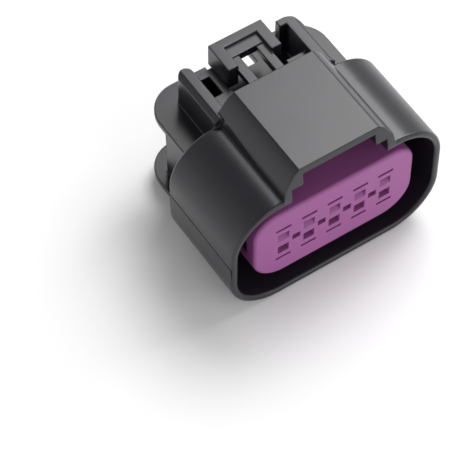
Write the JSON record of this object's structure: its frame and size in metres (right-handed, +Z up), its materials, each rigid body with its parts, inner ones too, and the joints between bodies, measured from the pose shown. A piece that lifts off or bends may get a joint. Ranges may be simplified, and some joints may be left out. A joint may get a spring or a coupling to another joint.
{
  "type": "sealed wire connector",
  "caption": "Oval sealed automotive connector with a hooded rocker latch, a sliding secondary lock cap, ribbed seals and socket contacts in two rows.",
  "frame": {"origin": "centre of the mating rim", "axes": "+X along the rows, +Y from the mating rim to the wire side, +Z up towards the hood"},
  "size_m": [0.035, 0.029, 0.0261],
  "materials": {
    "housing_plastic": "satin moulded",
    "latch_plastic": "satin moulded",
    "lock_plastic": "satin moulded",
    "seal_rubber": "matte silicone",
    "contact_metal": "tin plated"
  },
  "bodies": {
    "housing_body": {"housing": "housing_plastic", "interface_seal": "seal_rubber", "contact_1": "contact_metal", "contact_2": "contact_metal", "contact_3": "contact_metal", "contact_4": "contact_metal", "contact_5": "contact_metal", "contact_6": "contact_metal", "contact_7": "contact_metal", "contact_8": "contact_metal", "contact_9": "contact_metal", "contact_10": "contact_metal", "cable_seal_1": "seal_rubber", "cable_seal_2": "seal_rubber", "cable_seal_3": "seal_rubber", "cable_seal_4": "seal_rubber", "cable_seal_5": "seal_rubber", "cable_seal_6": "seal_rubber", "cable_seal_7": "seal_rubber", "cable_seal_8": "seal_rubber", "cable_seal_9": "seal_rubber", "cable_seal_10": "seal_rubber"},
    "latch_body": {"latch": "latch_plastic"},
    "lock_body": {"secondary_lock": "lock_plastic"}
  },
  "joints": [
    {"name": "latch_rock", "type": "hinge", "parent": "housing_body", "child": "latch_body", "pos_m": [0, 0.0118, 0.0122], "axis": [-1, 0, 0], "range_deg": [0, 5], "stiffness_Nm_per_rad": 0.6},
    {"name": "lock_slide", "type": "slide", "parent": "housing_body", "child": "lock_body", "axis": [0, -1, 0], "range_m": [0, 0.002]}
  ]
}
